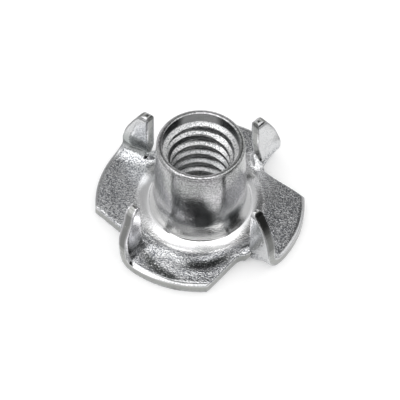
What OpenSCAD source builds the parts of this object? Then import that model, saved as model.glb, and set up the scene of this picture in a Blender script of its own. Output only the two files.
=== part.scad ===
// Pronged tee nut, stamped and drawn from one round blank of sheet steel.
// The flange lies on the XY plane and the barrel rises along +Z on the axis.
// A straight cut frees each prong, which is folded up at the end of its lobe.

/* [Blank] */
// Diameter of the round blank, and so of the flange
flange_d = 19.05; // [17.5:0.05:22]
// Thickness of the sheet
sheet_t = 1.0; // [0.8:0.05:1.2]
// Radius that the die rolls onto the upper edge of the blank
edge_r = 0.3; // [0.1:0.05:0.4]

/* [Barrel] */
// Overall height, from the underside of the flange to the rim
overall_h = 9.53; // [8:0.01:16]
// Outside diameter of the straight part of the barrel
barrel_d = 8.36; // [8:0.02:9]
// Outside diameter at the rim, where the taper ends
rim_d = 7.94; // [7.8:0.02:7.98]
// Height of the taper, from the rim down
taper_h = 4.0; // [1:0.1:4.4]
// Radius on the outer edge of the rim
rim_r = 0.25; // [0.1:0.05:0.35]
// Width of the flat land on the rim
rim_land = 0.2; // [0.1:0.05:0.3]

/* [Foot of the barrel] */
// Radius on which the flange rises towards the barrel
apron_r = 2.6; // [1:0.1:3.2]
// Slope that the flange has reached at the barrel's foot
apron_angle = 20; // [8:1:30]
// Radius in the corner at the barrel's foot
corner_r = 0.36; // [0.2:0.02:0.8]
// Slope of the steep part above that corner
foot_angle = 77; // [70:1:84]
// Height of that steep part
foot_h = 1.3; // [0.5:0.1:2]
// Radius on which the steep part runs out into the barrel's wall
foot_blend_r = 4.7; // [1:0.1:6]
// Radius of the funnel under the flange, where the sheet turns up
funnel_r = 2.0; // [0.8:0.1:2.2]

/* [Bore] */
// Diameter of the bore, at the crests of the thread
bore_d = 5.4; // [5:0.05:5.6]
// Depth of the counterbore at the rim
mouth_h = 1.05; // [0.4:0.05:1.5]
// Slope of the ledge at the bottom of the counterbore
ledge_angle = 30; // [10:1:45]
// Diameter at the inner edge of the ledge, where the lead-in taper starts
lead_d = 6.1; // [5.8:0.05:6.4]
// Height of the lead-in taper, from the ledge down to the bore
lead_h = 1.3; // [0.5:0.1:2.5]

/* [Prongs] */
// Number of lobes, with one prong each
lobe_count = 4; // [3:1:5]
// Direction of the first prong's inner face, from the X axis
first_prong_angle = 45; // [0:1:90]
// Width of each prong at its root, between the cut and the blank's edge
prong_w = 2.5; // [1.8:0.05:2.8]
// Inside radius of the fold
fold_r = 0.95; // [0.5:0.05:1.2]
// How far the blank's edge draws in along the fold
fold_draw = 0.05; // [0.03:0.01:0.15]
// Width left at the blunt tip
tip_w = 0.5; // [0.35:0.05:0.8]
// Bevel on the inner corner of the tip
tip_bevel = 0.2; // [0.05:0.05:0.3]
// Fillet between the inner edge of the prong and the top of the flange
root_r = 0.6; // [0.2:0.05:0.8]
// Fillet in the corner between the cut and the back of the prong
notch_r = 0.8; // [0.4:0.05:1.2]

/* [Hidden] */
$fn = 96;
steel = [0.77, 0.78, 0.79];
// How far a cutting shape runs past what it cuts
past = 1;

flange_r = flange_d / 2;
rim_radius = rim_d / 2;
barrel_radius = barrel_d / 2;
bore_radius = bore_d / 2;
lobe_step = 360 / lobe_count;

// The cut that frees a prong is a straight line at this distance from the axis
cut_x = flange_r - prong_w;

// Steps in each curve at the barrel's foot
foot_steps = 5;
// Points of a hollow curve between two slopes, from its upper end: the slope is 90
// degrees on the barrel's wall and 0 on the flange
function hollow(r, from, to) =
    [for (i = [1 : foot_steps])
        let (slope = from + (to - from) * i / foot_steps)
            r * [sin(from) - sin(slope), cos(from) - cos(slope)]];
blend = hollow(foot_blend_r, 90, foot_angle);
corner = hollow(corner_r, foot_angle, apron_angle);
apron = hollow(apron_r, apron_angle, 0);
steep = [foot_h / tan(foot_angle), -foot_h];
// Where each of them starts: they end on top of the flange
foot_fall = blend[foot_steps - 1] + steep + corner[foot_steps - 1] + apron[foot_steps - 1];
blend_start = [barrel_radius, sheet_t - foot_fall[1]];
corner_start = blend_start + blend[foot_steps - 1] + steep;
apron_start = corner_start + corner[foot_steps - 1];

// Rim, counterbore, ledge and lead-in taper
wall_top = overall_h - rim_r;
crest_radius = rim_radius - rim_r;
mouth_radius = crest_radius - rim_land;
lead_radius = lead_d / 2;
mouth_z = overall_h - mouth_h;
lead_z = mouth_z - (mouth_radius - lead_radius) * tan(ledge_angle);

// The sheet turns up through the fold, so its outer face has this radius
fold_back_r = fold_r + sheet_t;
// How far out the blank's edge is where the fold begins
fold_reach = sqrt(pow(flange_r, 2) - pow(fold_r, 2));
// Above the fold the blank's round edge goes on, about this centre: the fold takes
// up a quarter turn's length of sheet at mid thickness, which brings it down
edge_z = fold_back_r + fold_r - (fold_r + sheet_t / 2) * PI / 2;
edge_x = fold_reach - sqrt(pow(flange_r, 2) - pow(fold_back_r - edge_z, 2));
prong_h = edge_z + sqrt(pow(flange_r, 2) - pow(cut_x + tip_w - edge_x, 2));

// Section of the sheet at the blank's edge, with the rolled upper corner
module sheet_edge(inner, reach) {
    difference() {
        translate([inner, 0]) square([reach - inner, sheet_t]);
        difference() {
            translate([reach - edge_r, sheet_t - edge_r]) square(edge_r + past);
            translate([reach - edge_r, sheet_t - edge_r]) circle(edge_r);
        }
    }
}

// Half section of the barrel's outer side, from the top of the flange to the rim
module barrel_outside() {
    polygon(concat(
        [[0, 0], [apron_start[0] + apron[foot_steps - 1][0], 0]],
        [for (i = [foot_steps - 1 : -1 : 0]) apron_start + apron[i]],
        [for (i = [foot_steps - 1 : -1 : 0]) corner_start + corner[i]],
        [corner_start],
        [for (i = [foot_steps - 1 : -1 : 0]) blend_start + blend[i]],
        [blend_start, [barrel_radius, overall_h - taper_h]],
        [[rim_radius, wall_top], [crest_radius, wall_top], [crest_radius, overall_h], [0, overall_h]]
    ));
    translate([crest_radius, wall_top]) circle(rim_r);
}

// Half section of the bore, with the counterbore and lead-in above and the funnel below
module bore_inside() {
    translate([0, -past]) square([bore_radius, overall_h + 2 * past]);
    polygon([
        [0, lead_z - lead_h], [bore_radius, lead_z - lead_h], [lead_radius, lead_z],
        [mouth_radius, mouth_z], [mouth_radius, overall_h + past], [0, overall_h + past]
    ]);
    difference() {
        translate([0, -past]) square([bore_radius + funnel_r, funnel_r + past]);
        translate([bore_radius + funnel_r, funnel_r]) circle(funnel_r);
    }
}

// Plan of the opening beside one prong, which stands along the X axis
module notch_plan() {
    corner_y = -sheet_t - notch_r;
    translate([cut_x + notch_r, fold_r - flange_d]) square(flange_d);
    translate([cut_x, corner_y - flange_d]) square(flange_d);
    translate([cut_x + notch_r, corner_y]) circle(notch_r);
}

// Round blank drawn up into the barrel, with the openings between the lobes
module drawn_blank() {
    difference() {
        rotate_extrude()
            difference() {
                union() {
                    sheet_edge(0, flange_r);
                    barrel_outside();
                }
                bore_inside();
            }
        for (i = [0 : lobe_count - 1])
            rotate([0, 0, first_prong_angle + i * lobe_step])
                translate([0, 0, -past])
                    linear_extrude(sheet_t + 2 * past) notch_plan();
    }
}

// Quarter turn of the section it is given, from the end of the lobe up into the prong
module quarter_turn() {
    translate([0, fold_r, fold_back_r])
        rotate([0, 90, 0])
            rotate([0, 0, -90])
                rotate_extrude(angle = 90)
                    translate([fold_back_r, 0])
                        rotate([0, 0, 90]) children();
}

// Plate in the plane of the prong, with the side outline it is given
module upright() {
    rotate([90, 0, 0])
        linear_extrude(sheet_t) children();
}

// Side outline of the upright part of a prong, inside the blank's round edge
module blade_outline() {
    polygon([
        [cut_x, fold_back_r], [cut_x, prong_h - tip_bevel],
        [cut_x + tip_bevel, prong_h], [flange_r + past, prong_h],
        [flange_r + past, fold_back_r]
    ]);
}

// Upright part of a prong, bounded outside by the blank's rolled edge
module blade() {
    intersection() {
        translate([edge_x, -sheet_t, edge_z])
            rotate([-90, 0, 0])
                rotate_extrude() sheet_edge(0, flange_r);
        upright() blade_outline();
    }
}

// Side outline of the fillet that runs in from the prong's inner edge over the flange
module root_outline() {
    difference() {
        translate([cut_x - root_r, sheet_t / 2]) square([root_r, sheet_t / 2 + root_r]);
        translate([cut_x - root_r, sheet_t + root_r]) circle(root_r);
    }
}

// Foot of the prong: the fold fades out in a fillet, and its back stands straight on the web
module root() {
    intersection() {
        union() {
            quarter_turn() translate([cut_x - root_r, 0]) square([root_r, sheet_t]);
            upright() translate([cut_x - root_r, 0]) square([root_r, sheet_t + root_r]);
        }
        translate([0, fold_back_r, 0])
            rotate([90, 0, 0])
                linear_extrude(2 * fold_back_r) root_outline();
    }
    upright() translate([cut_x, sheet_t / 2]) square([notch_r, fold_back_r - sheet_t / 2]);
}

module tee_nut() {
    color(steel)
        union() {
            drawn_blank();
            for (i = [0 : lobe_count - 1])
                rotate([0, 0, first_prong_angle + i * lobe_step]) {
                    quarter_turn() sheet_edge(cut_x, fold_reach - fold_draw);
                    blade();
                    root();
                }
        }
}

tee_nut();
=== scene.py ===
"""Pronged tee nut in zinc-plated steel: a round blank lanced, folded and drawn, with a
tapped barrel."""

import math

import bmesh
import bpy
from mathutils import Matrix, Vector, noise


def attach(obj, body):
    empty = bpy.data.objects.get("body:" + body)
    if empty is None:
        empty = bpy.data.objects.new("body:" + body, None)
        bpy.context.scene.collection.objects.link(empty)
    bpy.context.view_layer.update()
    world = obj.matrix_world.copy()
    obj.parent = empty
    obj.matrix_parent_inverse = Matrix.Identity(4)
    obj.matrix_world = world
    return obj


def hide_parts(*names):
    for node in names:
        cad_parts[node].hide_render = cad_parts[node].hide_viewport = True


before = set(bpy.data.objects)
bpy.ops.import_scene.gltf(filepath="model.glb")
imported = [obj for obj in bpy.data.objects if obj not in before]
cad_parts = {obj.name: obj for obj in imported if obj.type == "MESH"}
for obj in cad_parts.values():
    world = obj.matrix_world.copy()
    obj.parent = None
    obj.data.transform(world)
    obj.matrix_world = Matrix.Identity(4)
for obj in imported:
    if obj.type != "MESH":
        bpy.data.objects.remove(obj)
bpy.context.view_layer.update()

MM = 0.001
TURN = 2 * math.pi
STEPS = 240  # columns in a full turn of the blank, barrel and thread

# Sizes in millimetres. In a pair called FROM and OVER, a form sets in at the first number
# and is whole after the length that the second gives.

# The blank and its edges
BLANK_R = 9.525
SHEET = 1.0
ROLL_WIDTH, ROLL_DEPTH = 0.42, 0.14  # the roll on the upper edge, where it is widest
ROLL_NARROW = 0.38  # share of that width where the roll is narrowest
# Where it is wide: bearing, share of the full width, half angle and the fade inside that
WIDE_ROLLS = ((226.0, 1.0, 32.0, 24.0), (-20.0, 0.8, 42.0, 16.0))
EDGE_BREAK = 0.06  # small break on the lower edge
SHEAR_ROLL = 0.12  # roll-over along the lanced cut
DISH = 0.12  # how far the flange is dished
CUT_R = 7.025  # distance of each lanced cut from the axis
CUT_END = 1.0  # where the cut ends, along the prong's own frame
SEAM_R = 5.8  # where the flat of the flange meets the barrel's apron
PRONGS = 4
FIRST_PRONG = 45.0
QUARTER = 360 / PRONGS
QUARTER_START = -48.0  # just past the outer end of the cut

# The fold and the prong
FOLD_R = 0.95  # inside radius of the fold
BEND_EASE = 0.6  # how gently the bend starts and ends
FACE_SPREAD, BACK_SPREAD = 1.9, 2.0  # widths over which the fold's two radii grow
BACK_ROOT_R = 0.3  # radius of the fold's outside at the cut
FACE_WHOLE = 0.2  # how far past the cut the fold is whole on its face
BACK_FADE = 0.7  # width over which the fold fades out on its back
PART_BEFORE, PART_OVER = 0.15, 0.75  # the lip and the prong part just before the cut's end
LEAN_FROM, LEAN_OVER = 1.0, 2.5
TWIST_FROM, TWIST_OVER, TWIST_WIDTH = 0.9, 1.2, 2.2
DROP_FROM, DROP_OVER = 2.0, 4.6
SWELL_FROM, SWELL_OVER = 0.2, 1.2
TIP_SWELL_FROM, TIP_SWELL_OVER = 4.2, 1.5
TIP_WIDTH = 0.42
TIP_ROUND = 0.5
TIP_END = 0.2  # share of the tip's width that is left at its very end
TIP_W = math.sqrt(BLANK_R ** 2 - (CUT_R + TIP_WIDTH) ** 2)

# The corner between the cut and the back of the prong, and the lip of the cut
NOTCH_WIDTH, NOTCH_SPREAD, NOTCH_LEAD = 1.6, 1.2, 0.1
LIP_OVER, LIP_END, LIP_FADE = 0.9, 6.4, 4.6
SLIT_OPEN, SLIT_REACH, SLIT_FADE = 0.1, 0.3, 1.6  # how far the cut's end has opened
SLIT_INNER, SLIT_INNER_OVER = 6.1, 0.4

# What sets one prong apart from the next
PRONG_LEAN = (-0.35, -0.15, 0.4, -0.15)  # lean past upright at the tip
PRONG_TWIST = (0.0, 0.4, 0.25, 0.0)  # how far the inner edge is turned that way
PRONG_DROP = (0.4, 0.15, 0.35, 0.0)  # how much lower the tip is
PRONG_SWELL = (0.3, 0.3, 0.0, 0.0)  # how far the outer edge stands out along its length
TIP_SWELL = (0.1, 0.1, 0.4, 0.0)  # and how much more at the blunt tip
TIP_THIN = (0.86, 0.6, 0.4, 0.86)  # share of its half thickness that the tip loses
FOLD_BACK = (1.7, 1.8, 1.8, 2.2)  # radius of the fold outside
FOLD_FACE = ((0.95, 0.95), (1.3, 1.9), (0.45, 1.1), (0.95, 0.95))  # inside, root and edge
ROOT_FADE = (1.2, 1.3, 0.8, 1.2)  # how far in the fold takes to fade out
NOTCH_R = (1.0, 0.8, 0.8, 1.3)  # corner between the cut and the prong's back
LIP_PULL = (0.36, 0.1, -0.08, 0.3)  # how far the cut's lip is drawn in to the barrel

SHEARED_FROM, SHEARED_TO = 0.1, 0.9  # shares of the sheet between its two skins

# Mesh lines across the flat quarter: how many, their spacing and their windows of (r, w)
RING_RADII = (SEAM_R, 6.05, 6.3, 6.6, 6.9, 7.2, 7.5, 7.8, 8.1, 8.4, 8.65)
ROLL_LINES, SHEET_CUTS = 8, 3  # in the roll, and through the sheet's thickness
LIP_LINES, LIP_WINDOW = 3, ((6.4, CUT_END - 0.4), (8.2, 7.2))
CUT_WINDOW = ((6.0, -1.2), (8.2, 7.2))
ROOT_STEPS, ROOT_SPACING = (-3, -2, -1, 1, 2, 3, 4), 0.24  # beside the cut, at its end
ROOT_WINDOW = ((6.0, -1.2), (8.4, 2.4))
FOLD_LINES, FOLD_FIRST, FOLD_SPACING = 30, -1.0, 0.1
FOLD_WINDOW = ((6.2, -1.2), (8.2, 2.2))
TIP_LINES, TIP_WINDOW = 7, ((CUT_R, 5.2), (8.2, 6.8))

# The barrel
HEIGHT = 9.53
BARREL_R = 4.18
RIM_R = 4.03
RIM_ROLL = 0.25
TAPER_FOOT, TAPER_CURVE = 4.6, 1.5
MOUTH_R = 3.52  # counterbore at the rim
MOUTH_BREAK, MOUTH_DRAFT = 0.07, 0.02
LEDGE_EASE, LEDGE_CORNER = 0.3, 0.04  # heights above the ledge where its corner eases
LEDGE_R = 3.47  # outer edge of the ledge at its bottom
LEAD_R = 3.05  # inner edge of the ledge, where the lead-in taper starts
LEAD_H = 1.3
LEDGE_SLOPE = 30
LEDGE_RISE = (LEDGE_R - LEAD_R) * math.tan(math.radians(LEDGE_SLOPE))

# Foot of the barrel, from the flange in: a rising apron, a tight corner, a steep part
# and a long blend into the wall
APRON_R, APRON_SLOPE = 2.6, 20
CORNER_R, FOOT_SLOPE = 0.36, 77
FOOT_H = 1.3
BLEND_R = 4.7
FUNNEL_R = 2.0
FUNNEL_LIP_R = 5.2  # a ring on the flat underside, outside the funnel

# Rows of mesh in each part of the section
APRON_ROWS, CORNER_ROWS, STEEP_ROWS, BLEND_ROWS = 12, 9, 4, 12
WALL_ROWS, RIM_ROWS, FUNNEL_ROWS = 16, 7, 10

# The dish fades with the distance from the axis on both sides, and with the height
DISH_OUTER, DISH_OUTER_OVER = 5.2, 2.3
DISH_INNER, DISH_INNER_OVER = 3.3, 1.5
DISH_TOP, DISH_TOP_OVER = 0.6, 3.0

# The press's marks: waves, a dent along the front lobe and a ridge across it
WAVE_LENGTH, RIPPLE_LENGTH, RIPPLE_SHARE = 0.9, 0.4, 0.4
WAVES_ROUND, RIPPLES_ROUND = 0.7, 2  # how often they change round the axis
ROUND_SCALE = 5.0  # noise per radian
WAVE_SLICE, RIPPLE_SLICE = 3.0, 7.0  # which slices of the noise they are taken from
WAVE_DEPTH, WAVE_FRONT = 0.034, 0.020  # how deep they are, and how much more in front
DENT_DEPTH, DENT_WIDTH, DENT_R, DENT_SLANT = 0.05, 0.85, 6.4, 0.041
DENT_LEFT, DENT_MIDDLE, DENT_RIGHT, DENT_FADE = 58, 10, 34, 20  # degrees from the front
RIDGE_HEIGHT, RIDGE_X, RIDGE_Y = 0.07, -3.6, -4.4
RIDGE_ACROSS = (-0.738, -0.675)  # direction at right angles to the ridge
RIDGE_FRONT, RIDGE_FRONT_OVER = -4.0, 1.0
RIDGE_RIGHT, RIDGE_RIGHT_OVER = 2.5, 2.0
RIDGE_OUTER, RIDGE_OUTER_OVER = 9.0, 1.3
RIDGE_CALM = 0.5  # share of the waves that the ridge presses flat
MARKS_INNER, MARKS_INNER_OVER = 5.6, 0.6
MARKS_OUTER, MARKS_OUTER_OVER = 0.1, 0.9  # from the blank's edge in
MARKS_TOP, MARKS_TOP_OVER = 1.05, 0.5
SHARP_ANGLE = 38  # degrees between faces at an edge that isn't smoothed

# The thread
PITCH = 1.27
MINOR_R = 2.7
MAJOR_R = 3.19
# Shares of the pitch at which its form has a row of mesh, from root to crest
HALF_FORM = (0.0, 0.06, 0.105, 0.128, 0.155, 0.195, 0.24, 0.285, 0.325, 0.348, 0.37,
             0.405, 0.45, 0.5)
ROOT_END, CREST_START = 0.12, 0.345
THREAD_PHASE = 0.4  # height of the start of the thread
THREAD_TOP = 8.23
THREAD_FOOT = 0.6
RUN_OUT = 0.3  # height below its top over which it runs out in the taper
LEDGE_SPAN = 0.5  # height of the rows above its top that are laid into the ledge

# Distances at which two points are one
NEAR, SEAM_NEAR = 1e-4, 1e-3


def ease(x):
    """0 below 0, 1 above 1 and a smooth step between."""
    x = min(max(x, 0.0), 1.0)
    return x * x * (3 - 2 * x)


def round_off(radius, gap):
    """How far a corner of that radius has fallen away at that distance from its edge."""
    if gap >= radius:
        return 0.0
    return radius - math.sqrt(max(radius * radius - (radius - gap) ** 2, 0.0))


def roll_steps(radius, count):
    """Distances from an edge that divide its rounded corner evenly."""
    return [radius * (1 - math.cos(math.pi / 2 * i / count)) for i in range(count + 1)]


def spin_chain(bm, points, steps=STEPS, degrees=360):
    """Revolves a chain of (radius, height) points about the axis."""
    chain = [bm.verts.new((r, 0, z)) for r, z in points]
    edges = [bm.edges.new(pair) for pair in zip(chain, chain[1:])]
    bmesh.ops.spin(bm, geom=chain + edges, cent=(0, 0, 0), axis=(0, 0, 1),
                   angle=math.radians(degrees), steps=steps, use_merge=degrees == 360)


# ---- the blank, flat -------------------------------------------------------
# One quarter of the blank is cut with its prong along +X and turned round after
# forming: r is the distance along the prong and w runs towards its tip, along -Y.

def slice_sheet(bm, normal, place, window):
    """Cuts a mesh line across the faces whose centres lie in a window of (r, w)."""
    low, high = window
    faces = []
    for face in bm.faces:
        centre = face.calc_center_median()
        if low[0] < centre.x < high[0] and low[1] < -centre.y < high[1]:
            faces.append(face)
    edges = {e for f in faces for e in f.edges}
    verts = {v for f in faces for v in f.verts}
    bmesh.ops.bisect_plane(bm, geom=faces + list(edges) + list(verts), dist=1e-5,
                           plane_co=Vector(normal) * place, plane_no=normal)


def cut_quarter(bm):
    """A quarter of the flat blank outside the apron, with the cut beside its prong."""
    rings = list(RING_RADII)
    rings += [BLANK_R - gap for gap in reversed(roll_steps(ROLL_WIDTH, ROLL_LINES))]
    spin_chain(bm, [(r, 0) for r in rings], STEPS // PRONGS, QUARTER)
    turn = Matrix.Rotation(math.radians(QUARTER_START), 3, "Z")
    bmesh.ops.rotate(bm, verts=bm.verts, matrix=turn)
    along, across = (1, 0, 0), (0, -1, 0)
    for gap in roll_steps(SHEAR_ROLL, LIP_LINES)[1:]:
        for place in (CUT_R - gap, CUT_R + gap):
            slice_sheet(bm, along, place, LIP_WINDOW)
    slice_sheet(bm, along, CUT_R, CUT_WINDOW)
    for step in ROOT_STEPS:
        slice_sheet(bm, along, CUT_R + ROOT_SPACING * step, ROOT_WINDOW)
    for step in range(FOLD_LINES):
        slice_sheet(bm, across, FOLD_FIRST + FOLD_SPACING * step, FOLD_WINDOW)
    for gap in roll_steps(TIP_ROUND, TIP_LINES):
        slice_sheet(bm, across, TIP_W - gap, TIP_WINDOW)
    lips = [e for e in bm.edges
            if all(abs(v.co.x - CUT_R) < NEAR and -v.co.y > CUT_END - NEAR for v in e.verts)]
    bmesh.ops.split_edges(bm, edges=lips)
    waste = []
    for face in bm.faces:
        centre = face.calc_center_median()
        if centre.x > CUT_R and -centre.y > TIP_W:
            waste.append(face)
    bmesh.ops.delete(bm, geom=waste, context="FACES")


def at_border(co):
    """Whether a point lies where this quarter of the blank meets the rest."""
    angle = math.degrees(math.atan2(co.y, co.x)) - QUARTER_START
    at_side = abs(angle) < SEAM_NEAR or abs(angle - QUARTER) < SEAM_NEAR
    return co.xy.length < SEAM_R + SEAM_NEAR or at_side


def thicken(bm):
    """Gives the flat quarter its thickness, and leaves it open where the rest joins on."""
    bmesh.ops.recalc_face_normals(bm, faces=bm.faces)
    bmesh.ops.solidify(bm, geom=bm.faces[:], thickness=SHEET)
    joins = [f for f in bm.faces
             if abs(f.normal.z) < 0.5 and all(at_border(v.co) for v in f.verts)]
    bmesh.ops.delete(bm, geom=joins, context="FACES")
    side = bm.verts.layers.float.new("side")
    for vert in bm.verts:
        across = vert.co.x - CUT_R
        if abs(across) < NEAR:
            around = [f.calc_center_median().x for f in vert.link_faces]
            across = sum(around) / len(around) - CUT_R
        vert[side] = 1.0 if across > 0 else 0.0
    walls = [e for e in bm.edges if abs(e.verts[0].co.z - e.verts[1].co.z) > SHEET / 2]
    bmesh.ops.subdivide_edges(bm, edges=walls, cuts=SHEET_CUTS, use_grid_fill=True)
    lowest = min(v.co.z for v in bm.verts)
    bmesh.ops.translate(bm, verts=bm.verts, vec=(0, 0, -lowest))
    sheared = bm.verts.layers.float.new("sheared")
    for vert in bm.verts:
        vert[sheared] = 1.0 if SHEARED_FROM < vert.co.z / SHEET < SHEARED_TO else 0.0


# ---- forming ---------------------------------------------------------------

def fold_curve(count=48):
    """A quarter bend that starts and ends gently, in a unit square from corner to corner."""
    points = [(0.0, 0.0)]
    for i in range(count):
        share = (i + 0.5) / count
        angle = math.pi / 2 * (share - BEND_EASE * math.sin(TURN * share) / TURN)
        last = points[-1]
        points.append((last[0] + math.cos(angle), last[1] + math.sin(angle)))
    return [(a / points[-1][0], b / points[-1][1]) for a, b in points]


BEND = fold_curve()


def on_bend(share):
    """A point on the bend at a share of its length."""
    place = min(max(share, 0.0), 1.0) * (len(BEND) - 1)
    low = min(int(place), len(BEND) - 2)
    part = place - low
    return tuple(BEND[low][i] + (BEND[low + 1][i] - BEND[low][i]) * part for i in (0, 1))


def bent_path(u, r, index, top):
    """Where a point of the sheet goes in the fold: u is its distance past the fold's start.

    Without the fold's radius the face would run level to the prong's plane and then
    straight up: along is the distance past that corner."""
    length = (FOLD_R + SHEET / 2) * math.pi / 2
    if top:
        plane, level = 0.0, SHEET
        inner, outer = FOLD_FACE[index]
        radius = inner + (outer - inner) * ease((r - CUT_R) / FACE_SPREAD)
    else:
        plane, level = SHEET, 0.0
        grown = ease((r - CUT_R) / BACK_SPREAD)
        radius = BACK_ROOT_R + (FOLD_BACK[index] - BACK_ROOT_R) * grown
    leg = FOLD_R + plane
    along = u - leg if u < 0 else leg * (2 * min(u / length, 1.0) - 1) + max(u - length, 0.0)
    if along <= -radius:
        return plane + along, level
    if along >= radius:
        return plane, level + along
    across, rise = on_bend((along + radius) / (2 * radius))
    return plane + radius * (across - 1), level + radius * rise


def formed(r, w, strip, index, top):
    """A point of the blank's upper or lower face after forming, in the prong's frame."""
    level = SHEET if top else 0.0
    u = w + FOLD_R
    if u <= -FOLD_R:
        return r, w, level
    if top:
        share = ease((r - CUT_R - FACE_WHOLE + ROOT_FADE[index]) / ROOT_FADE[index])
    else:
        share = ease((r - (CUT_R - BACK_FADE / 2)) / BACK_FADE)
    beyond = ease((w - CUT_END + PART_BEFORE) / PART_OVER)
    share = share + (1 - share) * beyond if strip else share * (1 - beyond)
    if share <= 0:
        return r, w, level
    side, up = bent_path(u, r, index, top)
    side = w + (side - w) * share
    up = level + (up - level) * share
    lift = ease((up - LEAN_FROM) / LEAN_OVER) * share
    side += PRONG_LEAN[index] * lift
    twist = PRONG_TWIST[index] * share * ease((up - TWIST_FROM) / TWIST_OVER)
    side += twist * (1 - ease((r - CUT_R) / TWIST_WIDTH))
    if up > DROP_FROM:
        up -= PRONG_DROP[index] * ((up - DROP_FROM) / DROP_OVER)
    return r, side, up


def open_cut(r, w, strip, index):
    """Rounds the corner between the cut and the back of the prong, and opens the cut's end."""
    across = r - CUT_R
    past = w - CUT_END
    if not strip and past > 0 and across > -NOTCH_WIDTH:
        corner = round_off(NOTCH_R[index], past) * min(past / NOTCH_LEAD, 1.0)
        pull = LIP_PULL[index] * ease(past / LIP_OVER) * ease((LIP_END - w) / LIP_FADE)
        return r + (corner - pull) * ease(1 + across / NOTCH_SPREAD), w
    reach = math.hypot(across, min(past, 0.0))
    opening = SLIT_OPEN * math.exp(-reach / SLIT_REACH) * (1 - ease(past / SLIT_FADE))
    opening *= ease((r - SLIT_INNER) / SLIT_INNER_OVER)
    if opening < NEAR:
        return r, w
    if past >= 0:
        return r + opening, w
    if reach < 1e-6:
        return r, w - opening
    return r + opening * across / reach, w + opening * past / reach


def round_tip(r, w, index):
    """Lets the prong's outer edge stand out, and rounds the corners of the blunt tip."""
    tip = TIP_SWELL[index] * ease((w - TIP_SWELL_FROM) / TIP_SWELL_OVER)
    swell = PRONG_SWELL[index] * ease((w - SWELL_FROM) / SWELL_OVER) + tip
    r += swell * (r - CUT_R) / (math.sqrt(BLANK_R ** 2 - w ** 2) - CUT_R)
    near = (w - (TIP_W - TIP_ROUND)) / TIP_ROUND
    if near <= 0:
        return r
    middle = CUT_R + (TIP_WIDTH + swell) / 2
    left = TIP_END + (1 - TIP_END) * math.sqrt(max(1 - min(near, 1) ** 2, 0))
    return middle + (r - middle) * left


def away_from(angle, bearing):
    """Degrees between an angle and a bearing, either way round."""
    return abs((angle - bearing + 180.0) % 360.0 - 180.0)


def roll_width(angle):
    """Width of the roll on the blank's upper edge: it is wide at the front left and at the
    right, where the die bore hardest."""
    wide = max(share * ease((half - away_from(angle, bearing)) / fade)
               for bearing, share, half, fade in WIDE_ROLLS)
    return ROLL_WIDTH * (ROLL_NARROW + (1 - ROLL_NARROW) * wide)


def form_quarter(bm, index):
    """Rounds the quarter's edges and folds its prong up."""
    side = bm.verts.layers.float["side"]
    bearing = FIRST_PRONG + index * QUARTER
    for vert in bm.verts:
        depth = vert.co.z / SHEET
        r, w = vert.co.x, -vert.co.y
        strip = vert[side] > 0.5
        gap_rim = max(BLANK_R - math.hypot(r, w), 0.0)
        gap_cut = abs(r - CUT_R) if w > CUT_END else math.hypot(r - CUT_R, CUT_END - w)
        roll = roll_width(bearing - math.degrees(math.atan2(w, r)))
        rolled = ROLL_DEPTH * roll / ROLL_WIDTH * max(1 - gap_rim / roll, 0.0) ** 2
        upper_fall = max(rolled, round_off(SHEAR_ROLL, gap_cut))
        lower_fall = max(round_off(EDGE_BREAK, gap_rim), round_off(EDGE_BREAK, gap_cut))
        if strip and w > 0:
            tip = TIP_THIN[index] * round_off(TIP_ROUND, max(TIP_W - w, 0.0))
            upper_fall, lower_fall = max(upper_fall, tip), max(lower_fall, tip)
            r = round_tip(r, w, index)
        r, w = open_cut(r, w, strip, index)
        upper = Vector(formed(r, w, strip, index, True))
        lower = Vector(formed(r, w, strip, index, False))
        rise = lower_fall + depth * (SHEET - lower_fall - upper_fall)
        place = lower.lerp(upper, rise / SHEET)
        vert.co = (place.x, -place.y, place.z)
    bm.verts.layers.float.remove(side)
    turn = Matrix.Rotation(math.radians(bearing), 3, "Z")
    bmesh.ops.rotate(bm, verts=bm.verts, matrix=turn)


# ---- barrel and thread -----------------------------------------------------

def arc(cx, cz, radius, start, end, count):
    """Points on a circle in the section, with angles in degrees."""
    angles = [math.radians(start + (end - start) * i / count) for i in range(count + 1)]
    return [(cx + radius * math.cos(a), cz + radius * math.sin(a)) for a in angles]


def hollow(points, radius, first, last, count):
    """Carries a hollow curve on from the last point, its slope growing between two angles."""
    start_r, start_z = points[-1]
    first_slope = math.radians(first)
    for i in range(1, count + 1):
        slope = math.radians(first + (last - first) * i / count)
        points.append((start_r - radius * (math.sin(slope) - math.sin(first_slope)),
                       start_z + radius * (math.cos(first_slope) - math.cos(slope))))


def foot_profile():
    """From the flange up to the barrel's wall."""
    points = [(0.0, SHEET)]
    hollow(points, APRON_R, 0, APRON_SLOPE, APRON_ROWS)
    hollow(points, CORNER_R, APRON_SLOPE, FOOT_SLOPE, CORNER_ROWS)
    last_r, last_z = points[-1]
    for i in range(1, STEEP_ROWS + 1):
        rise = FOOT_H * i / STEEP_ROWS
        points.append((last_r - rise / math.tan(math.radians(FOOT_SLOPE)), last_z + rise))
    hollow(points, BLEND_R, FOOT_SLOPE, 90, BLEND_ROWS)
    shift = BARREL_R - points[-1][0]
    return [(SEAM_R, SHEET)] + [(r + shift, z) for r, z in points]


def bore_radius(z):
    """The bore before it is tapped: funnel, straight bore and lead-in taper."""
    if z > THREAD_TOP - LEAD_H:
        return MINOR_R + (LEAD_R - MINOR_R) * (z - THREAD_TOP + LEAD_H) / LEAD_H
    if z >= FUNNEL_R:
        return MINOR_R
    return MINOR_R + FUNNEL_R - math.sqrt(FUNNEL_R ** 2 - (FUNNEL_R - z) ** 2)


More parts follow.
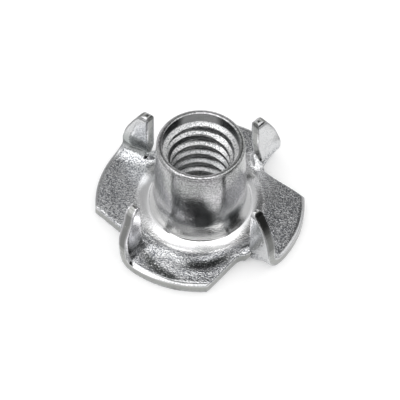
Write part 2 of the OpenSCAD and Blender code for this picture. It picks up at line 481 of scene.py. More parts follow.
def turn_barrel(bm):
    """Foot, tapered wall, rolled rim and counterbore; the funnel underneath."""
    outside = foot_profile()
    wall_foot, wall_top = outside[-1][1], HEIGHT - RIM_ROLL
    for i in range(1, WALL_ROWS):
        z = wall_foot + (wall_top - wall_foot) * i / WALL_ROWS
        share = max((z - TAPER_FOOT) / (wall_top - TAPER_FOOT), 0)
        outside.append((BARREL_R - (BARREL_R - RIM_R) * share ** TAPER_CURVE, z))
    outside += arc(RIM_R - RIM_ROLL, wall_top, RIM_ROLL, 0, 90, RIM_ROWS)
    ledge_top = THREAD_TOP + LEDGE_RISE
    outside += [(MOUTH_R + MOUTH_BREAK, HEIGHT), (MOUTH_R + MOUTH_DRAFT, HEIGHT - MOUTH_DRAFT),
                (MOUTH_R, HEIGHT - MOUTH_BREAK), (LEDGE_R + MOUTH_DRAFT, ledge_top + LEDGE_EASE),
                (LEDGE_R, ledge_top + LEDGE_CORNER), (LEDGE_R, ledge_top)]
    spin_chain(bm, outside)
    heights = [THREAD_FOOT * (1 - i / FUNNEL_ROWS) for i in range(FUNNEL_ROWS + 1)]
    funnel = [(bore_radius(z), z) for z in heights]
    spin_chain(bm, funnel + [(FUNNEL_LIP_R, 0.0), (SEAM_R, 0.0)])


def thread_radius(phase):
    """Radius of the thread's form at a share of the pitch: root at 0, crest at a half."""
    away = abs((phase + 0.5) % 1.0 - 0.5)
    flank = (away - ROOT_END) / (CREST_START - ROOT_END)
    return MAJOR_R - (MAJOR_R - MINOR_R) * min(max(flank, 0.0), 1.0)


def tap_thread(bm):
    """One turn of the thread's form, stacked up the bore and trimmed at both ends."""
    rows = list(HALF_FORM) + [1 - share for share in reversed(HALF_FORM[:-1])]
    points = [(thread_radius(share), PITCH * share) for share in rows]
    chain = [bm.verts.new((r, 0, z)) for r, z in points]
    edges = [bm.edges.new(pair) for pair in zip(chain, chain[1:])]
    bmesh.ops.spin(bm, geom=chain + edges, cent=(0, 0, 0), axis=(0, 0, 1),
                   dvec=(0, 0, PITCH / STEPS), angle=TURN, steps=STEPS)
    start = THREAD_FOOT + THREAD_PHASE - 2 * PITCH
    bmesh.ops.translate(bm, verts=bm.verts, vec=(0, 0, start))
    one_turn = bm.faces[:]
    for turn in range(1, math.ceil((THREAD_TOP - THREAD_FOOT) / PITCH) + 2):
        copy = bmesh.ops.duplicate(bm, geom=one_turn)["geom"]
        bmesh.ops.translate(bm, verts=[v for v in copy if isinstance(v, bmesh.types.BMVert)],
                            vec=(0, 0, PITCH * turn))
    for vert in bm.verts:
        bearing = math.atan2(vert.co.y, vert.co.x) % TURN
        z = min(max(vert.co.z, THREAD_FOOT), THREAD_TOP)
        radius = thread_radius((z - start) / PITCH - bearing / TURN)
        radius += (bore_radius(z) - radius) * ease((z - THREAD_TOP + RUN_OUT) / RUN_OUT)
        radius = max(radius, bore_radius(z))
        over = min((vert.co.z - THREAD_TOP) / LEDGE_SPAN, 1.0)
        if over > 0:
            radius += (LEDGE_R - radius) * over
            z += LEDGE_RISE * over
        vert.co = (radius * math.cos(bearing), radius * math.sin(bearing), z)
    bmesh.ops.remove_doubles(bm, verts=bm.verts, dist=NEAR)


# ---- the whole nut ---------------------------------------------------------

def join(bm, other):
    """Adds another bmesh and frees it."""
    mesh = bpy.data.meshes.new("part")
    other.to_mesh(mesh)
    other.free()
    bm.from_mesh(mesh)
    bpy.data.meshes.remove(mesh)


def dish(co):
    """How far the flange rises near the barrel."""
    out = co.xy.length
    rise = DISH * (1 - ease((out - DISH_OUTER) / DISH_OUTER_OVER))
    rise *= ease((out - DISH_INNER) / DISH_INNER_OVER)
    return rise * (1 - ease((co.z - DISH_TOP) / DISH_TOP_OVER))


def press_waves(co, out):
    """Shallow concentric waves, deeper towards the front."""
    around = math.atan2(co.y, co.x) * ROUND_SCALE
    wave = noise.noise(Vector((out / WAVE_LENGTH, around * WAVES_ROUND, WAVE_SLICE)))
    ripple = Vector((out / RIPPLE_LENGTH, around * RIPPLES_ROUND, RIPPLE_SLICE))
    wave += RIPPLE_SHARE * noise.noise(ripple)
    return (WAVE_DEPTH - WAVE_FRONT * co.y / max(out, 1.0)) * wave


def press_dent(co, out):
    """How much of the dent along the front lobe there is at a point."""
    from_front = math.degrees(math.atan2(co.x, -co.y))
    middle = DENT_R + DENT_SLANT * (DENT_MIDDLE - from_front)
    share = math.exp(-((out - middle) / DENT_WIDTH) ** 2)
    share *= ease((from_front + DENT_LEFT) / DENT_FADE)
    return share * ease((DENT_RIGHT - from_front) / DENT_FADE)


def press_ridge(co, out):
    """How much of the low ridge across the front lobe there is at a point."""
    aside = RIDGE_ACROSS[0] * (co.x - RIDGE_X) + RIDGE_ACROSS[1] * (co.y - RIDGE_Y)
    share = math.exp(-aside ** 2) * ease((RIDGE_FRONT - co.y) / RIDGE_FRONT_OVER)
    share *= ease((RIDGE_RIGHT - co.x) / RIDGE_RIGHT_OVER)
    return share * ease((RIDGE_OUTER - out) / RIDGE_OUTER_OVER)


def press_marks(co):
    """How far the press's marks raise or sink a point of the lobes."""
    out = co.xy.length
    ridge = press_ridge(co, out)
    relief = press_waves(co, out) * (1 - RIDGE_CALM * ridge)
    relief = relief - DENT_DEPTH * press_dent(co, out) + RIDGE_HEIGHT * ridge
    relief *= ease((out - MARKS_INNER) / MARKS_INNER_OVER)
    relief *= ease((BLANK_R - out - MARKS_OUTER) / MARKS_OUTER_OVER)
    return relief * (1 - ease((co.z - MARKS_TOP) / MARKS_TOP_OVER))


def build_nut():
    """The whole nut as one closed mesh."""
    quarter = bmesh.new()
    cut_quarter(quarter)
    thicken(quarter)
    flange = bmesh.new()
    for index in range(PRONGS):
        one = quarter.copy()
        form_quarter(one, index)
        join(flange, one)
    quarter.free()
    borders = [v for v in flange.verts if v.is_boundary]
    bmesh.ops.remove_doubles(flange, verts=borders, dist=SEAM_NEAR)
    barrel = bmesh.new()
    turn_barrel(barrel)
    thread = bmesh.new()
    tap_thread(thread)
    body = bmesh.new()
    join(body, barrel)
    join(body, thread)
    bmesh.ops.remove_doubles(body, verts=body.verts, dist=2 * NEAR)
    join(body, flange)
    seam = [v for v in body.verts if v.is_boundary]
    bmesh.ops.remove_doubles(body, verts=seam, dist=SEAM_NEAR)
    bmesh.ops.recalc_face_normals(body, faces=body.faces)
    for vert in body.verts:
        if vert.co.z > SHEET / 2:
            vert.co.z += press_marks(vert.co)
        vert.co.z += dish(vert.co)
    open_edges = sum(1 for e in body.edges if len(e.link_faces) != 2)
    print("nut:", len(body.faces), "faces, open or shared edges:", open_edges)
    bmesh.ops.scale(body, vec=(MM, MM, MM), verts=body.verts)
    mesh = bpy.data.meshes.new("tee_nut_formed")
    body.to_mesh(mesh)
    body.free()
    mesh.polygons.foreach_set("use_smooth", [True] * len(mesh.polygons))
    mesh.set_sharp_from_angle(angle=math.radians(SHARP_ANGLE))
    piece = bpy.data.objects.new("tee_nut_formed", mesh)
    bpy.context.scene.collection.objects.link(piece)
    return piece


# ---- shader maths ----------------------------------------------------------

class Socket:
    """A node's output that can be added, multiplied and compared like a number."""

    def __init__(self, tree, link):
        self.tree, self.link = tree, link

    def maths(self, operation, *values):
        return self.tree.node("ShaderNodeMath", {"operation": operation}, list(values))

    def __add__(self, other): return self.maths("ADD", self, other)
    def __radd__(self, other): return self.maths("ADD", other, self)
    def __sub__(self, other): return self.maths("SUBTRACT", self, other)
    def __rsub__(self, other): return self.maths("SUBTRACT", other, self)
    def __mul__(self, other): return self.maths("MULTIPLY", self, other)
    def __rmul__(self, other): return self.maths("MULTIPLY", other, self)
    def __pow__(self, other): return self.maths("POWER", self, other)
    def __abs__(self): return self.maths("ABSOLUTE", self)

    def step(self, start, end):
        """0 at start, 1 at end, smooth between; start may be the larger."""
        return self.tree.node("ShaderNodeMapRange", {"interpolation_type": "SMOOTHSTEP"},
                              {"Value": self, "From Min": start, "From Max": end})

    def between(self, low, high, soft):
        """1 between two values, fading over a soft margin on either side."""
        return self.step(low - soft, low + soft) * self.step(high + soft, high - soft)

    def step_mm(self, start, end):
        """A step whose limits are in millimetres."""
        return self.step(start * MM, end * MM)

    def between_mm(self, low, high, soft):
        """A band whose limits and softness are in millimetres."""
        return self.between(low * MM, high * MM, soft * MM)


class Tree:
    """A node tree in which one method makes every node."""

    def __init__(self, owner):
        owner.use_nodes = True
        self.nodes, self.links = owner.node_tree.nodes, owner.node_tree.links
        self.nodes.clear()

    def node(self, kind, settings=None, inputs=None, output=0):
        made = self.nodes.new(kind)
        for name, value in (settings or {}).items():
            setattr(made, name, value)
        pairs = enumerate(inputs) if isinstance(inputs, list) else (inputs or {}).items()
        for name, value in pairs:
            if isinstance(value, Socket):
                self.links.new(value.link, made.inputs[name])
            else:
                made.inputs[name].default_value = value
        return Socket(self, made.outputs[output]) if made.outputs else made

    def mix(self, share, first, second):
        """A colour between two colours."""
        return self.node("ShaderNodeMix", {"data_type": "RGBA"},
                         {0: share, 6: first, 7: second}, 2)

    def noise(self, where, scale, detail=2.0, roughness=0.5):
        return self.node("ShaderNodeTexNoise", {}, {
            "Vector": where, "Scale": scale, "Detail": detail, "Roughness": roughness})

    def place(self):
        """The Object coordinates of a point on the piece."""
        return self.node("ShaderNodeTexCoord", {}, {}, "Object")

    def along_axes(self, vector):
        """The three parts of a vector."""
        parts = self.node("ShaderNodeSeparateXYZ", {}, [vector])
        return tuple(Socket(self, output) for output in parts.link.node.outputs)


# ---- material --------------------------------------------------------------
# Limits are in millimetres from the axis or above the flange's underside. A pair is a
# smooth step from its first number to its second, and a triple is a band: two limits and
# the softness of both.

LOBES_OUT, BORE_OUT = (5.2, 6.2), (3.56, 3.5)
RIM_OUT, RIM_UP = (9.05, 9.2), (0.6, 1.2, 0.15)
PRONGS_UP = (1.15, 1.9)
APRON_OUT, APRON_UP, APRON_HIGHLIGHT_TO_FRONT = (4.62, 5.9, 0.12), (2.2, 1.6), (-2.5, -4.0)
FOOT_HIGHLIGHT_OUT, FOOT_HIGHLIGHT_UP = (3.8, 4.0), (3.0, 2.6)
DEEP_SHADE_UP, MOUTH_LIGHT_UP = (2.3, 5.1, 0.9), (8.45, 8.6)
SHADOW_UP, SHADOW_ASIDE, SHADOW_TO_BACK = (8.4, 8.6), (1.3, 2.2), (-1.5, 0.0)
DULL_MOUTH_UP, DULL_FOOT_UP = (8.35, 8.55), (2.4, 1.6)
BEND_UP, BEND_TO_BACK = (1.06, 1.22), (0.0, 2.0)
PITTED_TO_FRONT = (-4.2, -6.0)
# The painted dark reflection on the front lobe is two streaks, each slanted by a share of x
LEFT_OUT, LEFT_ACROSS, LEFT_SLANT = (9.75, 10.75, 0.25), (-5.2, -2.2, 0.5), 0.45
RIGHT_OUT, RIGHT_ACROSS, RIGHT_SLANT = (6.75, 7.55, 0.25), (-1.3, 2.6, 0.5), 0.12
LOBE_REFLECTION_TO_FRONT = (-4.6, -5.4)
WORN_OUT, WORN_TO_RIGHT, WORN_TO_BACK = (5.9, 7.1, 0.5), (2.6, 4.6), (-1.5, 1.0)
# The two prongs on the left: the back one's face has painted shade, darker towards its foot, and
# the near one's face a painted highlight, lighter higher up
LEFT_SIDE, REAR_SIDE, NEAR_SIDE = (-3.0, -4.0), (3.0, 4.0), (-3.0, -4.0)
REAR_SHADE_UP, NEAR_HIGHLIGHT_UP = (4.0, 2.2), (2.0, 2.8)
# Painted dark reflections on the barrel, in the middle of its front and low on its right
REFLECTION_ACROSS, REFLECTION_UP, REFLECTION_TO_FRONT = (-2.3, 1.0, 0.6), (3.4, 6.4, 0.7), (-3.0, -3.5)
LOW_REFLECTION_ACROSS, LOW_REFLECTION_UP, LOW_REFLECTION_TO_FRONT = (2.3, 3.5, 0.3), (1.9, 3.7, 0.4), (-1.5, -2.0)

# Colours of the plate, pale and grey, of what lies on it, and of its painted shade, shadows,
# highlights and reflections
DRAWN_PALE, DRAWN_GREY = (0.62, 0.61, 0.63, 1), (0.44, 0.45, 0.445, 1)
DARK_SPECKS, LIGHT_SPECKS = (0.12, 0.12, 0.12, 1), (0.9, 0.9, 0.9, 1)
LOBES_PALE, LOBES_GREY = (0.72, 0.72, 0.715, 1), (0.64, 0.65, 0.67, 1)
FLECKS = (0.21, 0.22, 0.24, 1)
# Painted dark reflection, in two streaks on the front lobe
LOBE_DARK_REFLECTION = (0.05, 0.055, 0.05, 1)
WORN = (0.85, 0.85, 0.86, 1)
# Painted shade for the back left prong's face and a painted highlight for the near one's
REAR_FACE_PAINTED_SHADE, NEAR_FACE_PAINTED_HIGHLIGHT = (0.26, 0.29, 0.28, 1), (0.97, 0.96, 0.99, 1)
SHEARED = (0.33, 0.335, 0.32, 1)
# Apron paler from burnishing, and brightest at its front as a painted highlight
APRON_SIDES, APRON_FRONT_HIGHLIGHT = (0.86, 0.86, 0.87, 1), (0.99, 0.99, 0.99, 1)
# Painted dark reflection on the barrel
BARREL_DARK_REFLECTION = (0.10, 0.11, 0.11, 1)
# Painted highlight on the barrel's foot
FOOT_PAINTED_HIGHLIGHT = (0.92, 0.92, 0.91, 1)
TAPPED, TAPPED_FLECKS = (0.80, 0.80, 0.80, 1), (0.42, 0.43, 0.44, 1)
# Painted shade deep in the bore
TAPPED_PAINTED_SHADE = (0.26, 0.27, 0.28, 1)
# Painted light at the bore's mouth
MOUTH_PAINTED_LIGHT = (0.95, 0.95, 0.95, 1)
# Painted shadow at the back sides of the bore's mouth
MOUTH_PAINTED_SHADOW = (0.05, 0.055, 0.06, 1)

CLOUD_SCALE, GRAIN_SCALE, PIT_SCALE, HAMMER_SCALE = 260.0, 7600.0, 6200.0, 900.0
RIPPLE_SCALE, RIPPLE_ROUND = 2600.0, 4.0  # turning marks: across them and round the axis
BUMP_STRENGTH, BUMP_DEPTH = 0.6, 0.02 * MM


class Plate:
    """The places, masks and noises that the finishes of the nut share."""

    def __init__(self, tree):
        self.tree = tree
        self.place = tree.place()
        self.x, self.y, self.z = tree.along_axes(self.place)
        self.out = (self.x * self.x + self.y * self.y) ** 0.5
        self.lobes = self.out.step_mm(*LOBES_OUT)
        self.bore = self.out.step_mm(*BORE_OUT)
        self.rim = self.out.step_mm(*RIM_OUT) * self.z.between_mm(*RIM_UP)
        self.upright = self.z.step_mm(*PRONGS_UP)
        self.cloud = tree.noise(self.place, CLOUD_SCALE, 3.0)
        self.grain = tree.noise(self.place, GRAIN_SCALE, 2.0, 0.6)
        self.fleck = self.grain.step(0.42, 0.64) * (1 - 0.8 * self.rim)
        self.fleck = self.fleck * (1 - 0.75 * self.upright * self.lobes)
        # Painted shadow: dark crescents at the back sides of the bore's mouth
        self.mouth_shadow = self.z.step_mm(*SHADOW_UP) * abs(self.x).step_mm(*SHADOW_ASIDE)
        self.mouth_shadow = self.mouth_shadow * self.y.step_mm(*SHADOW_TO_BACK)


def lobe_reflection_share(plate):
    """How much painted dark reflection there is: two streaks on the front lobe, broken by the
    grain.
    """
    x, y, out = plate.x, plate.y, plate.out
    left = (out - x * LEFT_SLANT).between_mm(*LEFT_OUT) * x.between_mm(*LEFT_ACROSS)
    right = (out + x * RIGHT_SLANT).between_mm(*RIGHT_OUT) * x.between_mm(*RIGHT_ACROSS)
    streaks = (left + 0.95 * right) * y.step_mm(*LOBE_REFLECTION_TO_FRONT) * (1 - plate.upright)
    return streaks * plate.grain.step(0.30, 0.50) * (1 - 0.8 * plate.rim)


def lobe_colour(plate):
    """Flecked zinc on the lobes and prongs, with a painted dark reflection on the front lobe, a
    worn patch on the right lobe, painted shade and a painted highlight on the faces of the two
    left prongs, and bare grey steel where the sheet is sheared."""
    tree, x, y, z = plate.tree, plate.x, plate.y, plate.z
    colour = tree.mix(plate.cloud, LOBES_PALE, LOBES_GREY)
    colour = tree.mix(plate.fleck, colour, FLECKS)
    # Painted dark reflection: two dark streaks on the front lobe
    colour = tree.mix(0.88 * lobe_reflection_share(plate), colour, LOBE_DARK_REFLECTION)
    worn = plate.out.between_mm(*WORN_OUT) * x.step_mm(*WORN_TO_RIGHT)
    worn = worn * y.step_mm(*WORN_TO_BACK)
    colour = tree.mix(0.4 * worn * (1 - plate.upright), colour, WORN)
    # Painted shade on the back left prong's face, darker towards its foot
    rear_shade = x.step_mm(*LEFT_SIDE) * y.step_mm(*REAR_SIDE) * plate.upright
    colour = tree.mix(0.6 * rear_shade * z.step_mm(*REAR_SHADE_UP), colour, REAR_FACE_PAINTED_SHADE)
    # Painted highlight on the near left prong's face, lighter higher up
    near = x.step_mm(*LEFT_SIDE) * y.step_mm(*NEAR_SIDE) * plate.upright
    colour = tree.mix(0.9 * near * z.step_mm(*NEAR_HIGHLIGHT_UP), colour, NEAR_FACE_PAINTED_HIGHLIGHT)
    sheared = tree.node("ShaderNodeAttribute", {"attribute_name": "sheared"}, {}, "Fac")
    return tree.mix(0.85 * sheared, colour, SHEARED)


def drawn_colour(plate):
    """Drawn zinc on the barrel, speckled, with its foot painted pale as a painted highlight and
    two painted dark reflections.
    """
    tree, x, y, z, grain = plate.tree, plate.x, plate.y, plate.z, plate.grain
    colour = tree.mix(plate.cloud.step(0.35, 0.65), DRAWN_PALE, DRAWN_GREY)
    colour = tree.mix(grain.step(0.48, 0.58) * 0.40, colour, DARK_SPECKS)
    colour = tree.mix(grain.step(0.49, 0.40) * 0.26, colour, LIGHT_SPECKS)
    # Breaks up the painted dark reflections with the grain
    broken_by_grain = 1 - 0.6 * grain.step(0.50, 0.60)
    # Painted dark reflection in the middle of the barrel's front
    dark_reflection = x.between_mm(*REFLECTION_ACROSS) * z.between_mm(*REFLECTION_UP)
    dark_reflection = dark_reflection * y.step_mm(*REFLECTION_TO_FRONT) * (plate.cloud + grain).step(0.8, 1.05)
    colour = tree.mix(dark_reflection * 0.85 * broken_by_grain, colour, BARREL_DARK_REFLECTION)
    # Painted highlight: the barrel's foot painted pale all round
    foot = z.step_mm(*FOOT_HIGHLIGHT_UP) * plate.out.step_mm(*FOOT_HIGHLIGHT_OUT)
    colour = tree.mix(foot * 0.9, colour, FOOT_PAINTED_HIGHLIGHT)
    # Painted dark reflection low on the barrel's right
    low_dark_reflection = x.between_mm(*LOW_REFLECTION_ACROSS) * z.between_mm(*LOW_REFLECTION_UP) * y.step_mm(*LOW_REFLECTION_TO_FRONT)
    return tree.mix(low_dark_reflection * 0.8 * broken_by_grain, colour, BARREL_DARK_REFLECTION)


def bore_colour(plate):
    """The tapped bore, with painted shade deep down, its mouth painted lighter as painted light,
    and a painted shadow at the back sides of its mouth.
    """
    tree, z = plate.tree, plate.z
    colour = tree.mix(plate.fleck, TAPPED, TAPPED_FLECKS)
    # Painted shade: the bore darker deep down
    colour = tree.mix(z.between_mm(*DEEP_SHADE_UP) * 0.45, colour, TAPPED_PAINTED_SHADE)
    # Painted light: the bore's mouth painted lighter
    colour = tree.mix(z.step_mm(*MOUTH_LIGHT_UP) * 0.8, colour, MOUTH_PAINTED_LIGHT)
    # Painted shadow at the back sides of the mouth
    return tree.mix(plate.mouth_shadow * 0.85, colour, MOUTH_PAINTED_SHADOW)


def plate_colour(plate):
    """All the finishes together, with the apron between lobes and barrel paler from burnishing
    and painted brightest at its front as a painted highlight.
    """
    tree = plate.tree
    colour = tree.mix(plate.bore, drawn_colour(plate), bore_colour(plate))
    colour = tree.mix(plate.lobes, colour, lobe_colour(plate))
    apron = plate.out.between_mm(*APRON_OUT) * plate.z.step_mm(*APRON_UP)
    # Painted highlight: the apron brightest at its front
    burnished_and_highlight = tree.mix(plate.y.step_mm(*APRON_HIGHLIGHT_TO_FRONT), APRON_SIDES, APRON_FRONT_HIGHLIGHT)
    return tree.mix(apron, colour, burnished_and_highlight)


def plate_roughness(plate):
    """Polished all over, a little less in the bore and dull at its mouth and foot."""
    mouth = plate.z.step_mm(*DULL_MOUTH_UP) * (1 - plate.mouth_shadow)
    dulled = plate.bore * (mouth + plate.z.step_mm(*DULL_FOOT_UP))
    return 0.12 - 0.04 * plate.lobes + 0.04 * plate.cloud + 0.10 * plate.bore + 0.36 * dulled


def plate_relief(plate):
    """Height of the grain, the press's pits, the hammered waves and the turning marks."""
    tree, y, z, lobes = plate.tree, plate.y, plate.z, plate.lobes
    turn = tree.node("ShaderNodeMath", {"operation": "ARCTAN2"}, [y, plate.x])
    rounds = tree.node("ShaderNodeCombineXYZ", {}, [
        plate.out * RIPPLE_SCALE, turn * RIPPLE_ROUND, z * RIPPLE_SCALE])
    ripple = tree.noise(rounds, 1.0, 2.0, 0.5)
    bend = z.step_mm(*BEND_UP) * y.step_mm(*BEND_TO_BACK) * lobes
    worked = lobes * (1 - 0.8 * plate.rim) * (1 - 0.9 * plate.upright) * (1 - 0.8 * bend)
    height = plate.grain * (0.8 + 0.2 * plate.bore - 0.5 * bend + 1.2 * worked)
    pits = tree.noise(plate.place, PIT_SCALE, 1.0)
    height = height + pits * worked * (0.5 + 1.1 * y.step_mm(*PITTED_TO_FRONT))
    hammered = tree.noise(plate.place, HAMMER_SCALE, 2.0)
    return height + hammered * 0.8 + ripple * (1.4 * lobes + 0.2)


def zinc_plate():
    """Bright zinc on steel: polished by the drawing die on the barrel, finely grained on the
    lobes, as on a nut fresh from the press, with painted dark reflections, painted shade,
    painted shadows and painted highlights."""
    material = bpy.data.materials.new("zinc_plate")
    tree = Tree(material)
    plate = Plate(tree)
    bump = tree.node("ShaderNodeBump", {}, {
        "Strength": BUMP_STRENGTH, "Distance": BUMP_DEPTH, "Height": plate_relief(plate)})
    shader = tree.node("ShaderNodeBsdfPrincipled", {}, {
        "Base Color": plate_colour(plate), "Metallic": 1.0,
        "Roughness": plate_roughness(plate), "Normal": bump})
    tree.node("ShaderNodeOutputMaterial", {}, {"Surface": shader})
    return material


# ---- stage -----------------------------------------------------------------

PIXELS, PIXELS_PER_MM = 400, 11.0
CAMERA_AZIMUTH, CAMERA_ELEVATION, CAMERA_ROLL = -1.8, 52.8, 0.8
CAMERA_AIM = 1.263  # height of the point on the axis in the middle of the picture
LENS, SENSOR = 600, 36
CLIP_NEAR, CLIP_FAR = 0.01, 10  # metres

FLOOR_SIZE, FLOOR_DROP = 0.8, 0.02 * MM
# The floor's glow fades out towards the nut between 9 and 3.5 mm from the axis: a painted shadow
FLOOR_COLOUR, FLOOR_GLOW, FLOOR_SHADOW_OUT = (0.8, 0.8, 0.8, 1), 0.35, (3.5, 9)
DOME_R = 0.3
CARD_INNER, CARD_OUTER, CARD_H = 11, 80, 0.02
CARD_LEVEL, CARD_FALL, CARD_FALL_OUT = 1.05, 0.57, (11, 13)
FLAG_CORNERS, FLAG_H = ((12.2, -9.6), (13.6, -6.3)), 8
FLAG_LEVEL, FLAG_RISE, FLAG_RISE_UP = 0.04, 0.5, (4.5, 0.0)
DOME_COLUMNS, DOME_ROWS, CARD_COLUMNS = 48, 24, 64

# The dome's cloths: their levels, with bands of bearings, left of the front negative,
# and steps or bands of elevation, all in degrees
SIDE_WALL = 0.66
BACK_BEARINGS, BACK_EDGE = (125, 150), (49, 44)
BACK_LOW, BACK_LOW_RIGHT, BACK_LOWEST = 0.46, 0.14, 0.45
BACK_LOW_RIGHT_EDGE, BACK_LOWEST_EDGE = (30, 36), (30, 20)
BACK_HIGH, BACK_HIGH_RIGHT = 0.39, 0.33
LEFT_CLOTH, LEFT_BEARINGS, LEFT_EDGE = 0.95, (-128, -46, 8), (36, 45)
LEFT_BRIGHT, LEFT_BRIGHT_BEARINGS = 1.25, (-80, -50, 8)
RIGHT_CLOTH, RIGHT_BEARINGS, RIGHT_EDGE = 1.05, (60, 130, 6), (38, 45)
LOW_LEFT_CLOTH, LOW_LEFT_BEARINGS, LOW_LEFT_HEIGHTS = 0.95, (-92, -60, 6), (12, 30, 5)
CEILING, CEILING_EDGE = 1.3, (56, 60.5)
SOFTBOX, SOFTBOX_EDGE = 2.4, (63, 71)
ZENITH, ZENITH_EDGE = 1.35, (71, 79)
CEILING_TILT = 5.0  # how much higher the ceiling's edges are on the right
FRONT_LEFT, FRONT_RIGHT, FRONT_HEIGHTS = (-52, -34), (32, 20), (30, 61, 2)
# Dark gaps between the cloths: share, band of bearings, band of elevations
GAPS = ((1.0, (50, 90, 5), (13, 36, 4)),
        (0.93, (40, 92, 8), (-24, 12, 5)),
        (0.6, (-56, -38, 5), (-14, 14, 5)))
GAP_DEPTH = 0.97


def set_camera():
    """A long lens from in front and above, with the nut in the middle."""
    data = bpy.data.cameras.new("camera")
    data.lens, data.sensor_width = LENS, SENSOR
    distance = PIXELS / PIXELS_PER_MM * MM * LENS / SENSOR
    azimuth, elevation = math.radians(CAMERA_AZIMUTH), math.radians(CAMERA_ELEVATION)
    back = Vector((math.sin(azimuth) * math.cos(elevation),
                   -math.cos(azimuth) * math.cos(elevation), math.sin(elevation)))
    camera = bpy.data.objects.new("camera", data)
    camera.location = Vector((0, 0, CAMERA_AIM * MM)) + back * distance
    camera.rotation_mode = "QUATERNION"
    turn = Matrix.Rotation(math.radians(CAMERA_ROLL), 3, "Z").to_quaternion()
    camera.rotation_quaternion = (-back).to_track_quat("-Z", "Y") @ turn
    data.clip_start, data.clip_end = CLIP_NEAR, CLIP_FAR
    bpy.context.scene.collection.objects.link(camera)
    bpy.context.scene.camera = camera


def stage_mesh(name, bm, material):
    """Links a piece of the studio."""
    mesh = bpy.data.meshes.new(name)
    bm.to_mesh(mesh)
    bm.free()
    mesh.materials.append(material)
    piece = bpy.data.objects.new(name, mesh)
    bpy.context.scene.collection.objects.link(piece)
    return piece


def hide_but_reflect(piece):
    """Leaves a piece of the studio visible to reflections only."""
    piece.visible_camera = False
    piece.visible_diffuse = False
    piece.visible_shadow = False


def glowing(tree, level):
    """Makes the tree's surface glow at a level."""
    glow = tree.node("ShaderNodeEmission", {}, {"Strength": level})
    tree.node("ShaderNodeOutputMaterial", {}, {"Surface": glow})


def lay_floor():
    """A white floor that keeps a faint shadow, with a painted shadow round the nut where its
    glow fades out.
    """
    material = bpy.data.materials.new("white_floor")
    tree = Tree(material)
    out = tree.node("ShaderNodeVectorMath", {"operation": "LENGTH"}, [tree.place()], "Value")
    # Painted shadow: no glow near the nut
    level = FLOOR_GLOW * out.step_mm(*FLOOR_SHADOW_OUT)
    glow = tree.node("ShaderNodeEmission", {}, {"Strength": level})
    paint = tree.node("ShaderNodeBsdfDiffuse", {}, {"Color": FLOOR_COLOUR})
    both = tree.node("ShaderNodeAddShader", {}, [glow, paint])
    tree.node("ShaderNodeOutputMaterial", {}, {"Surface": both})
    bm = bmesh.new()
    bmesh.ops.create_grid(bm, x_segments=1, y_segments=1, size=FLOOR_SIZE)
    bmesh.ops.translate(bm, verts=bm.verts, vec=(0, 0, -FLOOR_DROP))
    stage_mesh("floor", bm, material)


def dome_level(bearing, height):
    """How bright the dome is: white overhead, grey at the sides, and dark where the open
    front and the gaps between the cloths are."""
    to_right = bearing.step(-90, 90)
    low_back = BACK_LOW + BACK_LOW_RIGHT * to_right * height.step(*BACK_LOW_RIGHT_EDGE)
    low_back = low_back + BACK_LOWEST * height.step(*BACK_LOWEST_EDGE)
    high_back = BACK_HIGH - BACK_HIGH_RIGHT * to_right
    back = high_back + (low_back - high_back) * height.step(*BACK_EDGE)
    wall = SIDE_WALL + abs(bearing).step(*BACK_BEARINGS) * (back - SIDE_WALL)
    left = LEFT_CLOTH + LEFT_BRIGHT * bearing.between(*LEFT_BRIGHT_BEARINGS)
    wall = wall + (left - wall) * bearing.between(*LEFT_BEARINGS) * height.step(*LEFT_EDGE)
    right = (RIGHT_CLOTH - wall) * bearing.between(*RIGHT_BEARINGS)
    wall = wall + right * height.step(*RIGHT_EDGE)
    low_left = (LOW_LEFT_CLOTH - wall) * bearing.between(*LOW_LEFT_BEARINGS)
    wall = wall + low_left * height.between(*LOW_LEFT_HEIGHTS)
    rise = height - CEILING_TILT * to_right
    level = wall + (CEILING - wall) * rise.step(*CEILING_EDGE)
    level = level + (SOFTBOX - level) * rise.step(*SOFTBOX_EDGE)
    level = level + (ZENITH - level) * height.step(*ZENITH_EDGE)
    front = bearing.step(*FRONT_LEFT) * bearing.step(*FRONT_RIGHT)
    covered = 1 - front * height.between(*FRONT_HEIGHTS)
    for share, bearings, heights in GAPS:
        covered = covered * (1 - bearing.between(*bearings) * height.between(*heights) * share)
    return level * (1 - GAP_DEPTH * (1 - covered))


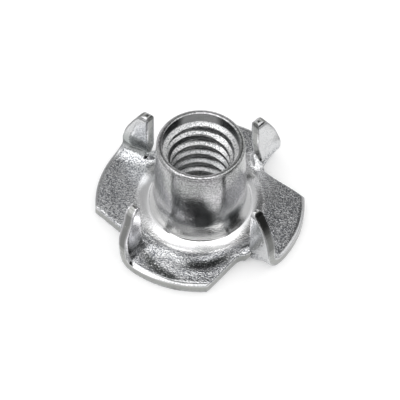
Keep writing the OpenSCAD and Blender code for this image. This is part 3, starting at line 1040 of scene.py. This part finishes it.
def hang_dome():
    """A soft dome round the nut, seen only by what it reflects."""
    material = bpy.data.materials.new("dome_cloth")
    tree = Tree(material)
    aim = tree.node("ShaderNodeVectorMath", {"operation": "NORMALIZE"}, [tree.place()])
    right, back, up = tree.along_axes(aim)
    to_degrees = 180 / math.pi
    height = up.maths("ARCSINE", up) * to_degrees
    bearing = right.maths("ARCTAN2", right, back * -1.0) * to_degrees
    glowing(tree, dome_level(bearing, height))
    bm = bmesh.new()
    bmesh.ops.create_uvsphere(bm, u_segments=DOME_COLUMNS, v_segments=DOME_ROWS, radius=DOME_R)
    hide_but_reflect(stage_mesh("dome", bm, material))


def lay_card():
    """A grey card on the floor round the nut, seen only by what it reflects."""
    material = bpy.data.materials.new("grey_card")
    tree = Tree(material)
    out = tree.node("ShaderNodeVectorMath", {"operation": "LENGTH"}, [tree.place()], "Value")
    glowing(tree, CARD_LEVEL - CARD_FALL * out.step_mm(*CARD_FALL_OUT))
    bm = bmesh.new()
    rings = [(CARD_INNER * MM, CARD_H * MM), (CARD_OUTER * MM, CARD_H * MM)]
    spin_chain(bm, rings, CARD_COLUMNS)
    hide_but_reflect(stage_mesh("card", bm, material))


def stand_flag():
    """A small dark flag at the nut's front right, seen only by what it reflects."""
    material = bpy.data.materials.new("flag_cloth")
    tree = Tree(material)
    up = tree.along_axes(tree.place())[2]
    glowing(tree, up.step_mm(*FLAG_RISE_UP) * FLAG_RISE + FLAG_LEVEL)
    bm = bmesh.new()
    low = [bm.verts.new((x * MM, y * MM, 0)) for x, y in FLAG_CORNERS]
    high = [bm.verts.new((x * MM, y * MM, FLAG_H * MM)) for x, y in reversed(FLAG_CORNERS)]
    bm.faces.new(low + high)
    hide_but_reflect(stage_mesh("flag", bm, material))


def set_world():
    """An even white world round the studio."""
    world = bpy.data.worlds.new("studio")
    bpy.context.scene.world = world
    tree = Tree(world)
    sky = tree.node("ShaderNodeBackground", {}, {"Color": (1, 1, 1, 1), "Strength": 1.0})
    tree.node("ShaderNodeOutputWorld", {}, {"Surface": sky})


bpy.context.scene.view_settings.view_transform = "Standard"
nut = build_nut()
nut.data.materials.append(zinc_plate())
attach(nut, "root")
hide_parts("tee_nut")
lay_floor()
hang_dome()
lay_card()
stand_flag()
set_world()
set_camera()
